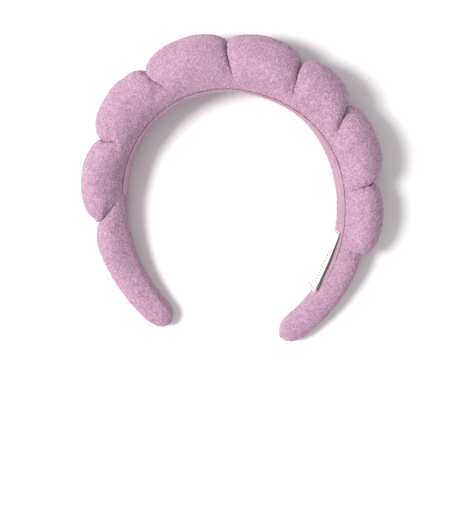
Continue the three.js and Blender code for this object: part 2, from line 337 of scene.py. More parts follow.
@dataclass(frozen=True)
class Roll:
    """A leg's roll, which turns its face a little up or down as the band lies.

    Attributes:
        side: 1 for the right leg, -1 for the left leg.
        most: The roll where it is greatest.
        rise: Where along the hoop it starts, and where it reaches its greatest.
        fall: Where it starts to ease, and where the tip is.
        pull: How far the leg is drawn in towards the other one.
        pivot: Distance out from the head that it turns about.
        ease: Share of the roll that is gone at the tip.
        pull_run: Length over which the pull grows.
    """

    side: int
    most: float
    pull: float
    rise: tuple[float, float] = (0.010, 0.085)
    fall: tuple[float, float] = (0.160, 0.2015)
    pivot: float = 10 * MM
    ease: float = 0.6
    pull_run: float = 0.06

    def turn(self, spot: Spot) -> Spot:
        """Turns a spot by the roll at its place along the hoop.

        Args:
            spot: A spot on the band.

        Returns:
            The spot where it lies once rolled and drawn in.
        """
        along = spot.along * self.side
        grown = smooth((along - self.rise[0]) / (self.rise[1] - self.rise[0]))
        eased = self.ease * smooth((along - self.fall[0]) / (self.fall[1] - self.fall[0]))
        angle = self.most * grown * (1 - eased)
        cos, sin = math.cos(angle), math.sin(angle)
        out = spot.out - self.pivot
        turned = self.pivot + out * cos + spot.across * sin
        drawn = self.pull * smooth((along - self.rise[1]) / self.pull_run)
        return Spot(spot.along, turned - drawn, spot.across * cos - out * sin)


PLAN = Plan()
PADDING = Padding()
ROLLS = (Roll(1, math.radians(17), 0.0), Roll(-1, math.radians(-6), 2.3 * MM))
LYING = PLAN.lying()


def lay(spot: Spot, above: float = -1.0) -> Vector:
    """Lays a spot of the band down on the table, and flattens it softly where that stops it.

    Args:
        spot: A spot on the band.
        above: How far above the table this layer stays.

    Returns:
        The point in the row frame.
    """
    placed = LYING @ PLAN.point(ROLLS[spot.along < 0].turn(spot))
    soft = 0.8 * MM
    lift = placed.z - above
    if lift < 4 * soft:
        placed.z = above + (lift + math.sqrt(lift * lift + soft * soft)) / 2
    return placed


# ---- Making meshes -----------------------------------------------------------------------

Shape = Callable[[float, float], Vector]
Marks = dict[str, Callable[[float, float], float]]


def finish_object(name: str, mesh: bmesh.types.BMesh, material: bpy.types.Material) -> bpy.types.Object:
    """Turns a bmesh into a smooth shaded object at the origin.

    Args:
        name: The piece's name.
        mesh: The mesh, in the row frame. It is freed.
        material: The piece's finish.

    Returns:
        The new object.
    """
    bmesh.ops.recalc_face_normals(mesh, faces=mesh.faces[:])
    for face in mesh.faces:
        face.smooth = True
    data = bpy.data.meshes.new(name)
    mesh.to_mesh(data)
    mesh.free()
    data.materials.append(material)
    piece = bpy.data.objects.new(name, data)
    bpy.context.scene.collection.objects.link(piece)
    log.info("%s: %d faces", name, len(data.polygons))
    return piece


@dataclass(frozen=True)
class Sweep:
    """A ring carried along the hoop's line, by a spin about each arc's centre.

    Attributes:
        start: Where the ring starts along the hoop.
        end: Where it ends.
        step: Length of one step along the hoop.
        sides: Sides of the ring.
        ring_out: Distance of the ring's middle out from the head.
        ring_radius: Radius of the ring.
        margin: How far past the tips the arcs run on.
    """

    start: float
    end: float
    step: float
    sides: int
    ring_out: float = 14 * MM
    ring_radius: float = 10 * MM
    margin: float = 10 * MM

    def legs(self) -> list[tuple[float, float, Vector, float]]:
        """Returns each arc that the sweep crosses: its start, end, centre and radius."""
        bend, half = PLAN.crown_half_arc, PLAN.half_length + self.margin
        right = PLAN.leg_centre
        left = Vector((-right.x, right.y, 0))
        arcs = [
            (-half, -bend, left, PLAN.leg_radius),
            (-bend, bend, Vector(), PLAN.crown_radius),
            (bend, half, right, PLAN.leg_radius),
        ]
        clipped = [(max(a, self.start), min(b, self.end), c, r) for a, b, c, r in arcs]
        return [arc for arc in clipped if arc[1] - arc[0] > 1e-6]

    def ring(self, mesh: bmesh.types.BMesh) -> list[bmesh.types.BMEdge]:
        """Adds the first ring, square to the hoop's line, and returns its edges."""
        middle = PLAN.point(Spot(self.start, self.ring_out, 0))
        outwards = (middle - PLAN.point(Spot(self.start, 0, 0))).normalized()
        across = Vector((0, 0, 1))
        turned = Matrix((across, outwards, across.cross(outwards))).transposed().to_4x4()
        matrix = Matrix.Translation(middle) @ turned
        made = bmesh.ops.create_circle(
            mesh, cap_ends=False, segments=self.sides, radius=self.ring_radius, matrix=matrix
        )
        return list({edge for vert in made["verts"] for edge in vert.link_edges})

    def build(self, shape: Shape, marks: Marks | None = None) -> bmesh.types.BMesh:
        """Spins the ring along the hoop, shapes it and closes its ends.

        Args:
            shape: Gives the row frame's point for a length along the hoop and an angle round
                the ring, 0 on its upper side and a quarter turn at its crest.
            marks: Gives a value at each vertex, by the same two numbers, for each attribute.

        Returns:
            The closed mesh.
        """
        mesh = bmesh.new()
        first = self.ring(mesh)
        last = first
        for start, end, centre, radius in self.legs():
            made = bmesh.ops.spin(
                mesh,
                geom=last,
                cent=centre,
                axis=(0, 0, -1),
                angle=(end - start) / radius,
                steps=max(1, round((end - start) / self.step)),
            )
            last = [item for item in made["geom_last"] if isinstance(item, bmesh.types.BMEdge)]
        layers = {mesh.verts.layers.float.new(name): mark for name, mark in (marks or {}).items()}
        for vert in mesh.verts:
            spot = PLAN.spot(vert.co)
            angle = math.atan2(spot.out - self.ring_out, spot.across)
            vert.co = shape(spot.along, angle)
            for layer, mark in layers.items():
                vert[layer] = mark(spot.along, angle)
        for edges in (first, last):
            cap = bmesh.ops.contextual_create(mesh, geom=edges)["faces"]
            bmesh.ops.poke(mesh, faces=cap)
        return mesh


def around_of(angle: float) -> tuple[float, int]:
    """Finds where round the section a ring's angle is.

    Args:
        angle: Angle round the ring, a quarter turn at the crest.

    Returns:
        The share of the way from the face to the crest, and the side.
    """
    side = 1 if math.cos(angle) >= 0 else -1
    return math.asin(max(-1.0, min(1.0, math.sin(angle)))) / math.pi + 0.5, side


def padded_shape(inset: float, face: float, above: float, end_inset: float) -> Shape:
    """Makes the shape of a padded layer of the band, with its tips rounded.

    Args:
        inset: Depth below the sleeve's surface.
        face: The layer's own face on the head's side.
        above: How far above the table it stays.
        end_inset: How far short of the sleeve's tip it ends.

    Returns:
        The shape, for a Sweep.
    """
    round_from = PLAN.half_length - PADDING.tip_round
    reach = PADDING.tip_round - end_inset
    least_shrink = 0.12

    def shape(along: float, angle: float) -> Vector:
        """Returns the layer's point, drawn together towards the tip."""
        around, side = around_of(angle)
        share = max(abs(along) - round_from, 0) / PADDING.tip_round
        shrink = max(math.cos(share * math.pi / 2), least_shrink)
        if share > 0:
            tip = round_from + reach * math.sin(min(share, 1.0) * math.pi / 2)
            along = math.copysign(tip, along)
        spot = PADDING.surface(along, around, side, inset)
        centre = (PADDING.face + PADDING.taper(along).height) / 2
        out = centre + (max(spot.out, face) - centre) * shrink
        return lay(Spot(spot.along, out, spot.across * shrink), above)

    return shape


def ribbon_shape(
    face: float, thick: float, half_width: Callable[[float], float], centre: float = 0.0
) -> Shape:
    """Makes the shape of a flat ribbon with soft edges, laid along the hoop.

    Args:
        face: Distance of its inner face from the head.
        thick: Its thickness.
        half_width: Half its width at a length along the hoop.
        centre: Its middle's distance across the band.

    Returns:
        The shape, for a Sweep.
    """
    across_power, out_power = 0.35, 0.7

    def shape(along: float, angle: float) -> Vector:
        """Returns the ribbon's point, on a rounded oblong."""
        cos, sin = math.cos(angle), math.sin(angle)
        across = half_width(along) * math.copysign(abs(cos) ** across_power, cos)
        out = face + thick / 2 * (1 + math.copysign(abs(sin) ** out_power, sin))
        return lay(Spot(along, out, centre + across))

    return shape


# ---- Finishes ----------------------------------------------------------------------------

Colour = tuple[float, float, float]
Socket = bpy.types.NodeSocket


class Nodes:
    """A material's node tree, with short ways to add and join nodes."""

    def __init__(self, name: str) -> None:
        """Makes a new material with a Principled shader."""
        self.material = bpy.data.materials.new(name)
        self.material.use_nodes = True
        self.tree = self.material.node_tree
        self.shader = next(n for n in self.tree.nodes if n.type == "BSDF_PRINCIPLED")

    def add(self, kind: str, **values: object) -> bpy.types.Node:
        """Adds a node, sets its properties and sockets by name, and returns it.

        Args:
            kind: The node's type, without its ShaderNode prefix.
            **values: Properties, or sockets with underscores for spaces.

        Returns:
            The node.
        """
        node = self.tree.nodes.new("ShaderNode" + kind)
        for key, value in values.items():
            if hasattr(node, key):
                setattr(node, key, value)
            else:
                self.put(node, key.replace("_", " "), value)
        return node

    def put(self, node: bpy.types.Node, socket: str, value: object) -> None:
        """Sets a node's input socket, or joins another node's output to it."""
        target = node.inputs[int(socket)] if socket.isdigit() else node.inputs[socket]
        if isinstance(value, Socket):
            self.tree.links.new(value, target)
        else:
            target.default_value = value

    def set(self, **values: object) -> None:
        """Sets the shader's sockets, named with underscores for spaces."""
        for key, value in values.items():
            self.put(self.shader, key.replace("_", " "), value)

    def place(self) -> Socket:
        """Returns the Object coordinates."""
        return self.add("TexCoord").outputs["Object"]

    def noise(self, scale: float, detail: float = 2.0) -> Socket:
        """Returns a noise pattern's value, at a scale given in patches a metre."""
        node = self.add("TexNoise", Vector=self.place(), Scale=scale, Detail=detail, Roughness=0.6)
        return node.outputs["Fac"]

    def ramp(self, value: Socket, low: float, high: float, start: Colour, end: Colour) -> Socket:
        """Adds a colour that follows a value.

        Args:
            value: The value to follow.
            low: Where the start colour is.
            high: Where the end colour is.
            start: The colour up to low.
            end: The colour from high on.

        Returns:
            The colour's socket.
        """
        node = self.add("ValToRGB")
        self.tree.links.new(value, node.inputs["Fac"])
        for stop, at, colour in zip(node.color_ramp.elements, (low, high), (start, end)):
            stop.position, stop.color = at, (*colour, 1)
        return node.outputs["Color"]

    def mix(self, kind: str, share: object, first: object, second: object) -> Socket:
        """Returns two colours mixed, by a blend type and a share."""
        node = self.add("MixRGB", blend_type=kind)
        for socket, value in zip(("Fac", "Color1", "Color2"), (share, first, second)):
            self.put(node, socket, (*value, 1) if isinstance(value, tuple) and len(value) == 3 else value)
        return node.outputs["Color"]

    def math(self, operation: str, first: object, second: object) -> Socket:
        """Returns the result of a Math node on two values."""
        node = self.add("Math", operation=operation)
        self.put(node, "0", first)
        self.put(node, "1", second)
        return node.outputs["Value"]

    def bump(self, height: Socket, depth: float, strength: float = 1.0) -> None:
        """Joins a height pattern to the shader as a bump of a depth in metres."""
        node = self.add("Bump", Height=height, Distance=depth, Strength=strength)
        self.set(Normal=node.outputs["Normal"])


@dataclass(frozen=True)
class TerryFinish:
    """Looped terry cloth: soft, matte and speckled, with a faint bloom at grazing angles."""

    name: str = "terry_cloth"
    light: Colour = (0.87, 0.60, 0.75)
    deep: Colour = (0.62, 0.39, 0.52)
    pile_scale: float = 900.0
    patch_scale: float = 55.0
    depth: float = 0.5 * MM

    def material(self) -> bpy.types.Material:
        """Builds the material and returns it."""
        nodes = Nodes(self.name)
        fine = nodes.noise(self.pile_scale, 3.0)
        patch = nodes.noise(self.patch_scale, 2.0)
        colour = nodes.ramp(fine, 0.35, 0.68, self.deep, self.light)
        tone = nodes.ramp(patch, 0.3, 0.7, (0.92, 0.90, 0.91), (1.0, 1.0, 1.0))
        tuft = nodes.add("Attribute", attribute_name="tuft").outputs["Fac"]
        each = nodes.ramp(tuft, 0.0, 1.0, (0.74, 0.70, 0.74), (1.20, 1.21, 1.20))
        colour = nodes.mix("MULTIPLY", 1.0, colour, tone)
        nodes.set(Base_Color=nodes.mix("MULTIPLY", 1.0, colour, each), Roughness=0.95)
        nodes.set(Specular_IOR_Level=0.15, Sheen_Weight=0.35, Sheen_Roughness=0.45)
        nodes.set(Sheen_Tint=(1.0, 0.90, 0.96, 1))
        nodes.bump(fine, self.depth)
        return nodes.material


@dataclass(frozen=True)
class FoamFinish:
    """Open-cell foam, with a fine scatter of pores whose darker colour is painted shade."""

    name: str = "foam"
    colour: Colour = (0.88, 0.83, 0.72)
    pore_shade: Colour = (0.55, 0.50, 0.42)

    def material(self) -> bpy.types.Material:
        """Builds the material and returns it."""
        nodes = Nodes(self.name)
        cells = nodes.add("TexVoronoi", Vector=nodes.place(), Scale=900.0).outputs["Distance"]
        # The darker colour towards the cell edges is painted shade in the pores.
        nodes.set(Base_Color=nodes.ramp(cells, 0.1, 0.45, self.colour, self.pore_shade), Roughness=0.95)
        nodes.bump(cells, 0.3 * MM, 0.8)
        return nodes.material


@dataclass(frozen=True)
class PlasticFinish:
    """Satin moulded plastic, with a faint flow pattern and fine scuffs."""

    name: str = "hoop_plastic"
    colour: Colour = (0.82, 0.80, 0.77)
    flow: Colour = (0.76, 0.74, 0.71)

    def material(self) -> bpy.types.Material:
        """Builds the material and returns it."""
        nodes = Nodes(self.name)
        flow = nodes.noise(40.0, 4.0)
        scuff = nodes.noise(1500.0, 4.0)
        nodes.set(Base_Color=nodes.ramp(flow, 0.3, 0.7, self.flow, self.colour))
        nodes.set(Roughness=nodes.ramp(scuff, 0.3, 0.7, (0.34,) * 3, (0.55,) * 3))
        nodes.bump(scuff, 0.02 * MM)
        return nodes.material


@dataclass(frozen=True)
class ThreadFinish:
    """Twisted sewing thread, with painted shade in the grooves between its strands as darker slanting stripes."""

    name: str = "thread"
    colour: Colour = (0.52, 0.28, 0.40)
    groove_shade: Colour = (0.30, 0.15, 0.22)

    def material(self) -> bpy.types.Material:
        """Builds the material and returns it."""
        nodes = Nodes(self.name)
        twist = nodes.add("TexWave", Vector=nodes.place(), Scale=250.0, Distortion=1.0)
        strands = twist.outputs["Fac"]
        # The darker stripes are painted shade in the grooves between the strands.
        nodes.set(Base_Color=nodes.ramp(strands, 0.1, 0.6, self.groove_shade, self.colour), Roughness=0.8)
        nodes.set(Sheen_Weight=0.2)
        nodes.bump(strands, 0.1 * MM)
        return nodes.material


@dataclass(frozen=True)
class LabelFinish:
    """A cream woven ribbon, with fine ribs and a plain row of short grey dashes down its middle.

    Attributes:
        ribs: How fast the ribs' wave turns along the label.
        dashes: Dashes in the label's whole length.
        dash: Share of each dash's room that is dark.
        row: Middle of the row across the label, and half its width, as shares.
        run: Middle of the row along the label, and half its length, as shares.
    """

    name: str = "label_ribbon"
    colour: Colour = (0.90, 0.87, 0.83)
    dark: Colour = (0.78, 0.75, 0.71)
    ink: Colour = (0.14, 0.13, 0.14)
    ribs: float = 560.0
    dashes: float = 20.0
    dash: float = 0.45
    row: tuple[float, float] = (0.55, 0.055)
    run: tuple[float, float] = (0.6, 0.27)

    def material(self) -> bpy.types.Material:
        """Builds the material and returns it."""
        nodes = Nodes(self.name)
        share = nodes.add("Attribute", attribute_name="share").outputs["Fac"]
        rise = nodes.add("Attribute", attribute_name="rise").outputs["Fac"]
        ribs = nodes.math("SINE", nodes.math("MULTIPLY", share, self.ribs), 0.0)
        slub = nodes.noise(900.0)
        cloth = nodes.ramp(slub, 0.3, 0.7, self.dark, self.colour)
        steps = nodes.math("FRACT", nodes.math("MULTIPLY", share, self.dashes), 0.0)
        dash = nodes.math("LESS_THAN", steps, self.dash)
        middle = nodes.math("COMPARE", rise, self.row[0])
        middle.node.inputs[2].default_value = self.row[1]
        run = nodes.math("COMPARE", share, self.run[0])
        run.node.inputs[2].default_value = self.run[1]
        marked = nodes.math("MULTIPLY", nodes.math("MULTIPLY", dash, middle), run)
        nodes.set(Base_Color=nodes.mix("MIX", marked, cloth, self.ink), Roughness=0.7)
        nodes.set(Specular_IOR_Level=0.3, Sheen_Weight=0.15)
        nodes.bump(nodes.math("ADD", ribs, slub), 0.05 * MM, 0.6)
        return nodes.material


class Finish(Enum):
    """The record's material slots, each with its finish."""

    TERRY = ("terry", TerryFinish())
    LINING = (
        "lining",
        TerryFinish(
            name="lining_cloth",
            light=(0.84, 0.58, 0.69),
            deep=(0.62, 0.39, 0.49),
            pile_scale=1200.0,
            patch_scale=70.0,
            depth=0.3 * MM,
        ),
    )
    FOAM = ("foam", FoamFinish())
    HOOP = ("hoop_plastic", PlasticFinish())
    THREAD = ("thread", ThreadFinish())
    LABEL = ("label", LabelFinish())

    @property
    def slot(self) -> str:
        """Returns the record's slot name."""
        return self.value[0]

    def make(self) -> bpy.types.Material:
        """Returns the finish's material, made the first time."""
        recipe = self.value[1]
        return bpy.data.materials.get(recipe.name) or recipe.material()


@dataclass(frozen=True)
class Bend:
    """The stretch of the crown that bends as the headband is spread."""

    reach: float = 52 * MM

    def give(self, piece: bpy.types.Object) -> None:
        """Bakes a piece's placement into its mesh."""
        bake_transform(piece)


BEND = Bend()


def carry(piece: bpy.types.Object, finish: Finish, *nodes: str) -> None:
    """Bakes a piece's placement into its mesh and hides the CAD nodes that it stands for."""
    BEND.give(piece)
    finish.slot
    if nodes:
        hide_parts(*nodes)


# ---- The pieces --------------------------------------------------------------------------


@dataclass(frozen=True)
class Pile:
    """Terry loops: small beads scattered over a cloth's face, lying every way.

    Attributes:
        least: The smallest loop, along its lie, across it and off the cloth.
        most: The largest loop.
        spacing: Least distance between two loops.
        finish: The cloth's finish, which the loops share.
        seed: Seed of the scatter.
        crowding: Tries in each loop's room, for the scatter.
    """

    least: Vector
    most: Vector
    spacing: float
    finish: Finish
    seed: int = 7
    crowding: float = 1.9

    def build(self, cloth: bpy.types.Object, name: str) -> list[bpy.types.Object]:
        """Scatters the loops over a cloth, in a piece for each side of the band.

        Args:
            cloth: The cloth. Its "nap" attribute says how thickly the loops stand.
            name: Start of the pieces' names.

        Returns:
            The pieces.
        """
        pieces = []
        for number, (side, sign) in enumerate((("left", -1.0), ("right", 1.0))):
            holder = bpy.data.objects.new(f"{name}_{side}", cloth.data.copy())
            bpy.context.scene.collection.objects.link(holder)
            tree = self.tree(holder.name, sign, self.seed + number)
            holder.modifiers.new("pile", "NODES").node_group = tree
            bake(holder)
            log.info("%s: %d faces", holder.name, len(holder.data.polygons))
            carry(holder, self.finish)
            pieces.append(holder)
        return pieces

    def tree(self, name: str, sign: float, seed: int) -> bpy.types.NodeTree:
        """Builds the geometry nodes that scatter the loops over one side of the cloth.

        Args:
            name: The tree's name.
            sign: 1 for the right side, -1 for the left side.
            seed: Seed of this side's scatter.

        Returns:
            The node tree.
        """
        tree = bpy.data.node_groups.new(name, "GeometryNodeTree")
        tree.interface.new_socket("Geometry", in_out="INPUT", socket_type="NodeSocketGeometry")
        tree.interface.new_socket("Geometry", in_out="OUTPUT", socket_type="NodeSocketGeometry")

        def add(kind: str, inputs: dict[str, object] | None = None, **values: object) -> bpy.types.Node:
            """Adds a node, with the values of its inputs and its properties, and returns it."""
            node = tree.nodes.new(kind)
            for key, value in values.items():
                setattr(node, key, value)
            for socket in node.inputs:
                if socket.name in (inputs or {}) and socket.enabled:
                    socket.default_value = inputs[socket.name]
            return node

        def join(start: bpy.types.Node, end: bpy.types.Node, into: str | int) -> None:
            """Joins a node's first output in use to another node's input."""
            tree.links.new(next(out for out in start.outputs if out.enabled), end.inputs[into])

        half = add("ShaderNodeMath", operation="MULTIPLY")
        here = add("ShaderNodeMath", operation="GREATER_THAN")
        thick = add("ShaderNodeMath", operation="MULTIPLY")
        half.inputs[1].default_value, here.inputs[1].default_value = sign, 0.0
        place, parts = add("GeometryNodeInputPosition"), add("ShaderNodeSeparateXYZ")
        nap = add("GeometryNodeInputNamedAttribute", {"Name": "nap"}, data_type="FLOAT")
        join(place, parts, 0)
        join(parts, half, 0)
        join(half, here, 0)
        join(here, thick, 0)
        join(nap, thick, 1)

        tries = {"Distance Min": self.spacing, "Density Max": self.crowding / self.spacing**2, "Seed": seed}
        scatter = add("GeometryNodeDistributePointsOnFaces", distribute_method="POISSON")
        for socket in scatter.inputs:
            if socket.name in tries:
                socket.default_value = tries[socket.name]
        bead = add("GeometryNodeMeshUVSphere", {"Segments": 4, "Rings": 2, "Radius": 1.0})
        sizes = {"Min": self.least, "Max": self.most}
        size = add("FunctionNodeRandomValue", sizes, data_type="FLOAT_VECTOR")
        lie = {"Min": (-0.5, -0.5, -math.pi), "Max": (0.5, 0.5, math.pi)}
        spin = add("FunctionNodeRandomValue", lie, data_type="FLOAT_VECTOR")
        turn = add("FunctionNodeRotateRotation", rotation_space="LOCAL")
        stand = add("GeometryNodeInstanceOnPoints")
        shade = add("FunctionNodeRandomValue", data_type="FLOAT")
        tuft = {"Name": "tuft"}
        mark = add("GeometryNodeStoreNamedAttribute", tuft, data_type="FLOAT", domain="INSTANCE")
        look = add("GeometryNodeSetMaterial", {"Material": self.finish.make()})
        join(add("NodeGroupInput"), scatter, "Mesh")
        join(thick, scatter, "Density Factor")
        join(scatter, stand, "Points")
        join(bead, stand, "Instance")
        tree.links.new(scatter.outputs["Rotation"], turn.inputs["Rotation"])
        join(spin, turn, "Rotate By")
        join(turn, stand, "Rotation")
        join(size, stand, "Scale")
        join(shade, mark, "Value")
        last = stand
        for node in (mark, add("GeometryNodeRealizeInstances"), add("GeometryNodeSetShadeSmooth"), look):
            join(last, node, 0)
            last = node
        join(last, add("NodeGroupOutput"), 0)
        return tree


def bake(piece: bpy.types.Object) -> None:
    """Applies all of a piece's modifiers to its mesh."""
    shaped = piece.evaluated_get(bpy.context.evaluated_depsgraph_get())
    data = bpy.data.meshes.new_from_object(shaped)
    piece.modifiers.clear()
    old, piece.data = piece.data, data
    bpy.data.meshes.remove(old)
    data.name = piece.name


def points_of(mesh: bpy.types.Mesh) -> np.ndarray:
    """Returns a mesh's vertices as rows."""
    rows = np.empty(len(mesh.vertices) * 3)
    mesh.vertices.foreach_get("co", rows)
    return rows.reshape(-1, 3)


@dataclass(frozen=True)
class Sleeve:
    """The gathered terry sleeve round the padding, puffed out by simulated pressure.

    Attributes:
        base: Height of the cloth above the table, under its loops.
        pressure: Pressure inside, for the simulation.
        growth: How much the cloth grows, which wrinkles it a little.
        cap: How far the simulation may move a point.
        sag_cut: Share of the simulation's inward movement that is taken out.
        nap_from: Where the loops start, as a share of the lining's width.
        nap_run: Share of the way round over which they thicken.
        crest_share: Share of the height that a full turn to the crest counts for.
        crease_firm: How firmly the middle of a crease is held, above 1 for a flat top.
        crease_steps: Steps of the mesh over which that hold fades.
        tip_run: Length over which the hold grows at a tip.
        tail_firm: How firmly a tail is held.
        tail_run: Length over which that hold grows.
        face_to: Share of the way round up to which the face is held.
        face_run: Share of the way round over which that hold fades.
    """

    step: float = 1.6 * MM
    sides: int = 64
    base: float = 0.9 * MM
    pressure: float = 4.0
    growth: float = 0.05
    frames: int = 20
    cap: float = 2.2 * MM
    sag_cut: float = 0.7
    nap_from: float = 0.65
    nap_run: float = 0.08
    crest_share: float = 0.6
    crease_firm: float = 1.5
    crease_steps: float = 1.2
    tip_run: float = 8 * MM
    tail_firm: float = 0.7
    tail_run: float = 14 * MM
    face_to: float = 0.30
    face_run: float = 0.12

    def build(self) -> bpy.types.Object:
        """Builds the sleeve, gathered and puffed, and returns it."""
        end = PLAN.half_length
        sweep = Sweep(-end, end, self.step, self.sides)
        marks = {"nap": self.nap, "held": self.held}
        mesh = sweep.build(padded_shape(self.base, 0.0, self.base, 0.0), marks)
        sleeve = finish_object("terry_sleeve", mesh, Finish.TERRY.make())
        self.inflate(sleeve)
        subdivide(sleeve, 1)
        bake(sleeve)
        log.info("terry_sleeve: %d faces, puffed and smoothed", len(sleeve.data.polygons))
        return sleeve

    def nap(self, length: float, angle: float) -> float:
        """Returns how thick the pile stands: none under the lining, full past the corners."""
        around, _ = around_of(angle)
        covered = PADDING.covered(length)
        start = self.nap_from * PADDING.lining * (1 - covered)
        return smooth((around - start) / self.nap_run + covered)

    def held(self, length: float, angle: float) -> float:
        """Finds how firmly the cloth is held: at its face, its gathers, its tails and its tips.

        Args:
            length: Length along the hoop.
            angle: Angle round the ring.

        Returns:
            The hold, from 0 for free to 1 for pinned.
        """
        around, _ = around_of(angle)
        sizes = PADDING.taper(length)
        inward = (1 - around) / (1 - PADDING.corner_turn) * sizes.height * self.crest_share
        near = min(range(len(PADDING.gathers)), key=lambda at: abs(PADDING.gathers[at] - length))
        gap = abs(PADDING.gathers[near] - length)
        gather = smooth(self.crease_firm - gap / (self.crease_steps * self.step))
        gather *= PADDING.depth(near, inward)
        tip = smooth((abs(length) - PLAN.half_length + PADDING.tip_round) / self.tip_run)
        tail = self.tail_firm * smooth((abs(length) - abs(PADDING.gathers[0])) / self.tail_run)
        face = smooth(1 - (around - self.face_to) / self.face_run)
        return max(gather, tip, tail, face)

    def inflate(self, sleeve: bpy.types.Object) -> None:
        """Puffs the sleeve out by a cloth simulation, and keeps the result in its mesh."""
        rest = points_of(sleeve.data)
        held = np.empty(len(rest))
        sleeve.data.attributes["held"].data.foreach_get("value", held)
        group = sleeve.vertex_groups.new(name="held")
        for level in range(1, 11):
            group.add(np.flatnonzero(np.round(held * 10) == level).tolist(), level / 10, "REPLACE")
        cloth = sleeve.modifiers.new("cloth", "CLOTH").settings
        cloth.quality = 6
        cloth.mass = 0.3
        cloth.vertex_group_mass = "held"
        cloth.use_pressure = True
        cloth.uniform_pressure_force = self.pressure
        cloth.shrink_min = -self.growth
        cloth.bending_stiffness = 0.3
        cloth.effector_weights.gravity = 0
        scene = bpy.context.scene
        for frame_number in range(1, self.frames + 1):
            scene.frame_set(frame_number)
        bake(sleeve)
        scene.frame_set(1)
        moved = points_of(sleeve.data) - rest
        normals = np.empty(moved.size)
        sleeve.data.vertices.foreach_get("normal", normals)
        normals = normals.reshape(-1, 3)
        inwards = np.minimum((moved * normals).sum(axis=1, keepdims=True), 0)
        moved -= normals * inwards * self.sag_cut
        length = np.linalg.norm(moved, axis=1, keepdims=True)
        log.info("terry_sleeve: the simulation moved points up to %.1f mm", length.max() / MM)
        rest += moved * np.minimum(1, self.cap / np.maximum(length, 1e-9))
        rest[:, 2] = np.maximum(rest[:, 2], self.base)
        sleeve.data.vertices.foreach_set("co", rest.ravel())
        sleeve.data.update()


def subdivide(piece: bpy.types.Object, levels: int) -> None:
    """Adds a Subdivision Surface modifier, with the same levels in view and render."""
    modifier = piece.modifiers.new("smooth", "SUBSURF")
    modifier.levels = modifier.render_levels = levels


@dataclass(frozen=True)
class Core:
    """The foam padding: a lobe between each pair of gathers, and a tail at each end."""

    inset: float = 3.4 * MM
    face: float = 4.6 * MM
    gap: float = 8.5 * MM
    step: float = 3 * MM
    sides: int = 24

    def build(self) -> list[bpy.types.Object]:
        """Builds the foam pieces and returns them."""
        gathers, end = PADDING.gathers, PLAN.half_length
        runs = {"foam_tail_left": (-end, gathers[0]), "foam_tail_right": (gathers[-1], end)}
        for number, run in enumerate(zip(gathers, gathers[1:]), start=1):
            runs[f"foam_lobe_{number}"] = run
        shape = padded_shape(self.inset, self.face, self.inset, self.inset)
        pieces = []
        for name, (start, stop) in runs.items():
            trim = [0 if abs(at) == end else self.gap for at in (start, stop)]
            sweep = Sweep(start + trim[0], stop - trim[1], self.step, self.sides)
            piece = finish_object("padding_" + name, sweep.build(shape), Finish.FOAM.make())
            carry(piece, Finish.FOAM, name)
            pieces.append(piece)
        return pieces


def sew(name: str, node: str, paths: list[list[Vector]], radius: float) -> bpy.types.Object:
    """Makes threads along paths, thinner at their ends, as one piece.

    Args:
        name: The piece's name.
        node: The CAD node that it stands for.
        paths: Each thread's points, in the row frame.
        radius: The thread's radius.

    Returns:
        The piece.
    """
    end_share = 0.6
    data = bpy.data.curves.new(name, "CURVE")
    data.dimensions = "3D"
    data.bevel_depth, data.bevel_resolution, data.use_fill_caps = radius, 1, True
    for path in paths:
        spline = data.splines.new("POLY")
        spline.points.add(len(path) - 1)
        for number, (point, at) in enumerate(zip(spline.points, path)):
            point.co = (*at, 1)
            point.radius = end_share if number in (0, len(path) - 1) else 1.0
    curve = bpy.data.objects.new("path", data)
    bpy.context.scene.collection.objects.link(curve)
    mesh = bmesh.new()
    mesh.from_mesh(curve.to_mesh())
    bmesh.ops.remove_doubles(mesh, verts=mesh.verts, dist=1e-7)
    bpy.data.objects.remove(curve)
    bpy.data.curves.remove(data)
    piece = finish_object(name, mesh, Finish.THREAD.make())
    carry(piece, Finish.THREAD, node)
    return piece


def arch(spots: list[Spot], rise: float) -> list[Vector]:
    """Finds a stitch's points: two sunk ends and an arch between them, off the head side.

    Args:
        spots: The stitch's two ends.
        rise: How high it would stand if its ends were not sunk.

    Returns:
        The points, in the row frame.
    """
    start, end = spots
    sunk = 0.35
    path = []
    for share in (0, 0.2, 0.5, 0.8, 1):
        lift = rise * (math.sin(math.pi * share) - sunk)
        along, out, across = (a + (b - a) * share for a, b in zip(vars(start).values(), vars(end).values()))
        path.append(lay(Spot(along, out - lift, across)))
    return path


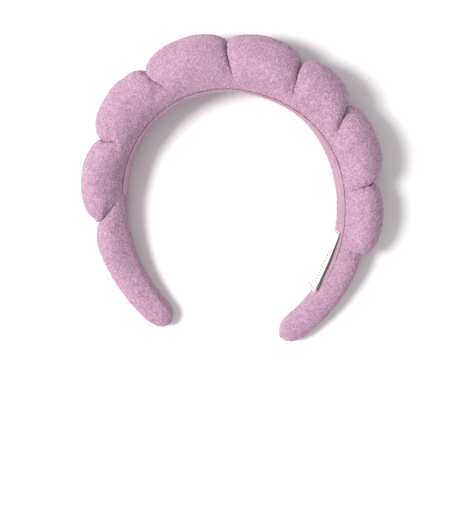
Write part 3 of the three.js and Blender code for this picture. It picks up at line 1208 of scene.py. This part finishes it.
@dataclass(frozen=True)
class Lining:
    """The ribbon on the head's side, which turns over the band's inner corners.

    Attributes:
        tuck: How far its edges sink into the sleeve.
        sunk: How far it lies inside the sleeve where the terry covers it.
        seam: Share of the ribbon's half width at which its stitches run.
        stitch: Length of one stitch and the gap after it.
        stitch_rise: How high a stitch stands.
        round_power: Power that squares off the ribbon's section.
        thinning: How much thinner it is at its edges and ends.
        end_run: Length over which it thins towards an end.
        above: How far above the table it stays.
    """

    thick: float = 0.8 * MM
    gap: float = 0.1 * MM
    tuck: float = 0.55 * MM
    sunk: float = 2 * MM
    seam: float = 0.73
    end: float = 7 * MM
    stitch: float = 2.6 * MM
    stitch_gap: float = 0.9 * MM
    thread: float = 0.2 * MM
    stitch_rise: float = 0.14 * MM
    round_power: float = 0.6
    thinning: float = 0.7
    end_run: float = 6 * MM
    above: float = 0.3 * MM

    def shape(self, length: float, angle: float) -> Vector:
        """Finds a point of the ribbon, which sinks in at its edges, its ends and under the terry.

        Args:
            length: Length along the hoop.
            angle: Angle round the ribbon's section.

        Returns:
            The point, in the row frame.
        """
        cos, sin = math.cos(angle), math.sin(angle)
        share = abs(cos) ** self.round_power
        ends = smooth((abs(length) - PLAN.half_length + self.end + self.end_run) / self.end_run)
        tucked = max(share**5, ends)
        head_side = (1 - math.copysign(abs(sin) ** self.round_power, sin)) / 2
        inset = self.tuck * tucked - self.gap - self.thick * (1 - self.thinning * tucked) * head_side
        inset += self.sunk * PADDING.covered(length)
        side = 1 if cos >= 0 else -1
        return lay(PADDING.surface(length, PADDING.lined(length) * share, side, inset), self.above)

    def nap(self, length: float, angle: float) -> float:
        """Returns how thickly the short pile stands: on the head's side only."""
        return smooth(-2 * math.sin(angle))

    def width(self, length: float) -> float:
        """Returns the ribbon's flat width at a length along the hoop."""
        steps = [PADDING.surface(length, PADDING.lined(length) * step / 24, 1) for step in range(25)]
        return 2 * sum(math.hypot(b.out - a.out, b.across - a.across) for a, b in zip(steps, steps[1:]))

    def build(self) -> list[bpy.types.Object]:
        """Builds the ribbon and its two rows of stitches."""
        end = PLAN.half_length - self.end
        mesh = Sweep(-end, end, 2 * MM, 40).build(self.shape, {"nap": self.nap})
        ribbon = finish_object("lining", mesh, Finish.LINING.make())
        carry(ribbon, Finish.LINING, "inner_lining")
        widths = [self.width(-end + 2 * end * step / 60) for step in range(61)]
        loops = Pile(
            least=Vector((0.45, 0.20, 0.10)) * MM,
            most=Vector((0.75, 0.30, 0.22)) * MM,
            spacing=0.62 * MM,
            finish=Finish.LINING,
        )
        piles = loops.build(ribbon, "lining_pile")
        return [ribbon, self.row("lining_seam_front", 1), self.row("lining_seam_back", -1)]

    def row(self, node: str, side: int) -> bpy.types.Object:
        """Builds the stitches along one edge, where the ribbon is wide."""
        paths = []
        first, last = PADDING.lining_ends
        for number in range(int((last - first) / self.stitch)):
            start = first + number * self.stitch
            lengths = (start, start + self.stitch - self.stitch_gap)
            spots = [
                PADDING.surface(at, PADDING.lined(at) * self.seam, side, -self.gap - self.thick)
                for at in lengths
            ]
            paths.append(arch(spots, self.stitch_rise))
        return sew("stitches_" + node, node, paths, self.thread)


@dataclass(frozen=True)
class Gathers:
    """The threads that draw the gathers tight, sunk at the bottom of their creases.

    Attributes:
        start: Share of the way round to the crest at which a thread starts.
        sunk: How deep it lies on the whole.
        weave: How far it weaves in and out of the cloth.
        above: How far above the table it stays.
    """

    radius: float = 0.28 * MM
    start: float = 0.42
    steps: int = 28
    sunk: float = 0.5 * MM
    weave: float = 0.25 * MM
    above: float = 0.5 * MM

    def build(self) -> list[bpy.types.Object]:
        """Builds a thread for each gather, from one side over the crest to the other."""
        pieces = []
        for number, gather in enumerate(PADDING.gathers, start=1):
            path = []
            for step in range(-self.steps, self.steps + 1):
                around = 1 - (1 - self.start) * abs(step) / self.steps
                sunk = self.sunk + self.weave * math.cos(step * math.pi / 2)
                spot = PADDING.surface(gather, around, -1 if step < 0 else 1, sunk)
                path.append(lay(spot, self.above))
            pieces.append(sew(f"gather_{number}", f"gather_thread_{number}", [path], self.radius))
        return pieces


@dataclass(frozen=True)
class Label:
    """The plain woven label, pulled straight between its ends on the right leg's lining.

    Attributes:
        bottom: Its lower edge, across the band, and how far that stands off the lining.
        top: Its upper edge, across the band, and how far that stands off the lining.
        lean: How much nearer its upper end is to the lining, and how much farther off its lower end.
        least: How near the lining its ends may lie.
        bow: How far its middle bows out, more along its upper edge.
        tack_stitches: Stitches in the bar across each end.
        tack_reach: Half a stitch's length, as a share of the label's.
        tack_off: How far off the label a stitch's ends are.
        tack_rise: How much higher its middle is.
    """

    length: float = 42 * MM
    centre: float = 143.5 * MM
    thick: float = 0.35 * MM
    bottom: tuple[float, float] = (-4.6 * MM, 1.7 * MM)
    top: tuple[float, float] = (7.8 * MM, 0.1 * MM)
    lean: tuple[float, float] = (-1.3 * MM, 0.8 * MM)
    least: float = 0.1 * MM
    bow: float = 0.5 * MM
    tack_stitches: int = 13
    tack_reach: float = 0.012
    tack_off: float = 0.1 * MM
    tack_rise: float = 0.2 * MM
    tack_thread: float = 0.15 * MM

    def point(self, share: float, rise: float, off: float = 0.0) -> Vector:
        """Finds a point of the label.

        Args:
            share: Share of its length, from its upper end.
            rise: Share of its width, from its lower edge.
            off: Distance off its face, towards the head.

        Returns:
            The point, in the row frame.
        """
        across = self.bottom[0] + (self.top[0] - self.bottom[0]) * rise
        stand = self.bottom[1] + (self.top[1] - self.bottom[1]) * rise
        stands = [max(stand + lean, self.least) + off for lean in self.lean]
        ends = [
            lay(Spot(self.centre + end * self.length / 2, -gap, across))
            for end, gap in zip((-1, 1), stands)
        ]
        bow = self.bow * math.sin(math.pi * share) * (0.4 + rise)
        near, far = (lay(Spot(self.centre, out, across)) for out in (0, 1 * MM))
        return ends[0].lerp(ends[1], share) - (near - far).normalized() * bow

    def build(self) -> list[bpy.types.Object]:
        """Builds the ribbon and the stitches that tack its two ends down."""
        mesh = bmesh.new()
        bmesh.ops.create_grid(mesh, x_segments=60, y_segments=20, size=0.5)
        share_layer, rise_layer = (mesh.verts.layers.float.new(name) for name in ("share", "rise"))
        for vert in mesh.verts:
            share, rise = vert.co.x + 0.5, vert.co.y + 0.5
            vert[share_layer], vert[rise_layer] = share, rise
            vert.co = self.point(share, rise)
        bmesh.ops.solidify(mesh, geom=mesh.faces[:], thickness=self.thick)
        ribbon = finish_object("woven_label", mesh, Finish.LABEL.make())
        carry(ribbon, Finish.LABEL, "label_ribbon")
        return [ribbon, self.tack("upper", 0.03), self.tack("lower", 0.97)]

    def tack(self, end: str, share: float) -> bpy.types.Object:
        """Builds the bar of close stitches across one end.

        Args:
            end: The end's name.
            share: Where along the label the bar is.

        Returns:
            The bar.
        """
        paths = []
        for number in range(self.tack_stitches):
            rise = (number + 0.5) / self.tack_stitches
            paths.append([
                self.point(
                    share + step * self.tack_reach, rise, self.tack_off + self.tack_rise * (1 - step * step)
                )
                for step in STITCH_STEPS
            ])
        return sew("tack_" + end, "label_tack_" + end, paths, self.tack_thread)


@dataclass(frozen=True)
class Tips:
    """The stitches that close the sleeve at each tip.

    Attributes:
        spread: Distance between two stitches.
        half_length: Half the length of a stitch.
        past: How far past the tip a stitch's middle is, in millimetres.
        bend: How much farther back its ends are, in millimetres.
        slant: How far across the band its ends are set.
    """

    stitches: int = 4
    spread: float = 0.8 * MM
    half_length: float = 1.3 * MM
    past: float = 0.5
    bend: float = 0.9
    slant: float = 0.3 * MM
    thread: float = 0.25 * MM

    def build(self) -> list[bpy.types.Object]:
        """Builds both tips' stitches."""
        pieces = []
        for name, side in (("left", -1), ("right", 1)):
            out = (PADDING.face + PADDING.taper(PLAN.half_length).height) / 2
            paths = []
            for number in range(self.stitches):
                across = (number - (self.stitches - 1) / 2) * self.spread
                paths.append([
                    lay(Spot(
                        side * (PLAN.half_length + (self.past - self.bend * step * step) * MM),
                        out + step * self.half_length,
                        across + self.slant * step,
                    ))
                    for step in STITCH_STEPS
                ])
            pieces.append(sew("tip_stitches_" + name, "tip_stitch_" + name, paths, self.thread))
        return pieces


@dataclass(frozen=True)
class Hoop:
    """The sprung plastic hoop, which bends with the band.

    Attributes:
        face: Distance of its inner face from the head.
        inset: How much narrower than the flat face each of its edges is.
        end: How far short of the tip it ends.
    """

    thick: float = 1.8 * MM
    face: float = 2.5 * MM
    inset: float = 0.8 * MM
    end: float = 9 * MM
    step: float = 3 * MM
    sides: int = 24

    def build(self) -> bpy.types.Object:
        """Builds the hoop with rounded edges."""
        end = PLAN.half_length - self.end
        shape = ribbon_shape(self.face, self.thick, lambda along: PADDING.flat(along) - self.inset)
        mesh = Sweep(-end, end, self.step, self.sides).build(shape)
        hoop = finish_object("sprung_hoop", mesh, Finish.HOOP.make())
        carry(hoop, Finish.HOOP, "hoop")
        return hoop


@dataclass(frozen=True)
class Studio:
    """A plain pale floor, soft light from the left, and the camera over the headband.

    Attributes:
        aim: What the camera faces, in millimetres from the joint.
        distance: Distance of the camera from there.
        tilt: Angle that the camera leans back from overhead.
        sway: Angle that it leans to one side.
        roll: Angle that it is turned about its own line of sight.
        surroundings: Strength of the light from all round.
        key_place: Where the key light is.
        key_size: The key light's width.
        key_power: The key light's power in watts.
    """

    aim: tuple[float, float, float] = (3.91, -113.48, -7.7)
    distance: float = 0.728
    lens: float = 76.7
    tilt: float = 0.159
    sway: float = -0.135
    roll: float = 0.087
    surroundings: float = 0.58
    key_place: tuple[float, float, float] = (-1.45, 0.06, 2.30)
    key_size: float = 0.90
    key_power: float = 64.0

    @property
    def target(self) -> Vector:
        """Returns the point that the camera and the light face."""
        return Vector(JOINT["pos_m"]) + Vector(self.aim) * MM

    def build(self) -> None:
        """Builds the floor, the light and the camera."""
        self.floor()
        self.surround()
        self.key()
        self.camera()

    def floor(self) -> None:
        """Builds the floor, a wide pale sheet."""
        mesh = bmesh.new()
        bmesh.ops.create_grid(mesh, x_segments=1, y_segments=1, size=3.0)
        nodes = Nodes("pale_floor")
        nodes.set(Base_Color=(0.92, 0.92, 0.92, 1), Roughness=0.9, Specular_IOR_Level=0.1)
        finish_object("floor", mesh, nodes.material)

    def surround(self) -> None:
        """Adds the white surroundings, which fill the shadows."""
        world = bpy.data.worlds.new("surroundings")
        bpy.context.scene.world = world
        world.use_nodes = True
        back = world.node_tree.nodes["Background"]
        back.inputs["Color"].default_value = (1, 1, 1, 1)
        back.inputs["Strength"].default_value = self.surroundings

    def key(self) -> None:
        """Adds the key light, a round one that faces the headband."""
        data = bpy.data.lights.new("key", "AREA")
        data.shape, data.size, data.energy = "DISK", self.key_size, self.key_power
        light = bpy.data.objects.new("key", data)
        light.location = self.key_place
        towards = self.target - Vector(self.key_place)
        light.rotation_euler = towards.to_track_quat("-Z", "Y").to_euler()
        bpy.context.scene.collection.objects.link(light)

    def camera(self) -> None:
        """Adds the camera, nearly overhead."""
        data = bpy.data.cameras.new("camera")
        data.sensor_fit, data.sensor_height, data.lens = "VERTICAL", 36, self.lens
        data.clip_start, data.clip_end = 0.01, 20
        turned = (
            Matrix.Rotation(-self.roll, 3, "Z")
            @ Matrix.Rotation(self.sway, 3, "Y")
            @ Matrix.Rotation(self.tilt, 3, "X")
        ).transposed()
        camera = bpy.data.objects.new("camera", data)
        place = self.target + turned @ Vector((0, 0, self.distance))
        camera.matrix_world = Matrix.Translation(place) @ turned.to_4x4()
        bpy.context.scene.collection.objects.link(camera)
        bpy.context.scene.camera = camera


def dress_frame() -> None:
    """Gives each node of the frame that still shows the finish of its own slot."""
    for name, node in frame["nodes"].items():
        if not node.hide_render:
            slot = next(s["material_slot"] for s in frame["record"]["subparts"] if s["node"] == name)
            finish = next(f for f in Finish if f.slot == slot)
            node.data.materials.clear()
            node.data.materials.append(finish.make())


def main() -> None:
    """Builds the headband and its studio."""
    logging.basicConfig(level=logging.INFO, format="%(name)s %(message)s")
    Studio().build()
    bpy.context.scene.view_settings.view_transform = "Standard"
    sleeve = Sleeve().build()
    loops = Pile(
        least=Vector((0.55, 0.28, 0.26)) * MM,
        most=Vector((1.15, 0.42, 0.56)) * MM,
        spacing=0.69 * MM,
        finish=Finish.TERRY,
    )
    loops.build(sleeve, "pile")
    carry(sleeve, Finish.TERRY, "terry_cover_left", "terry_cover_right")
    Core().build()
    Hoop().build()
    Lining().build()
    Gathers().build()
    Label().build()
    Tips().build()
    dress_frame()


if __name__ == "__main__":
    main()
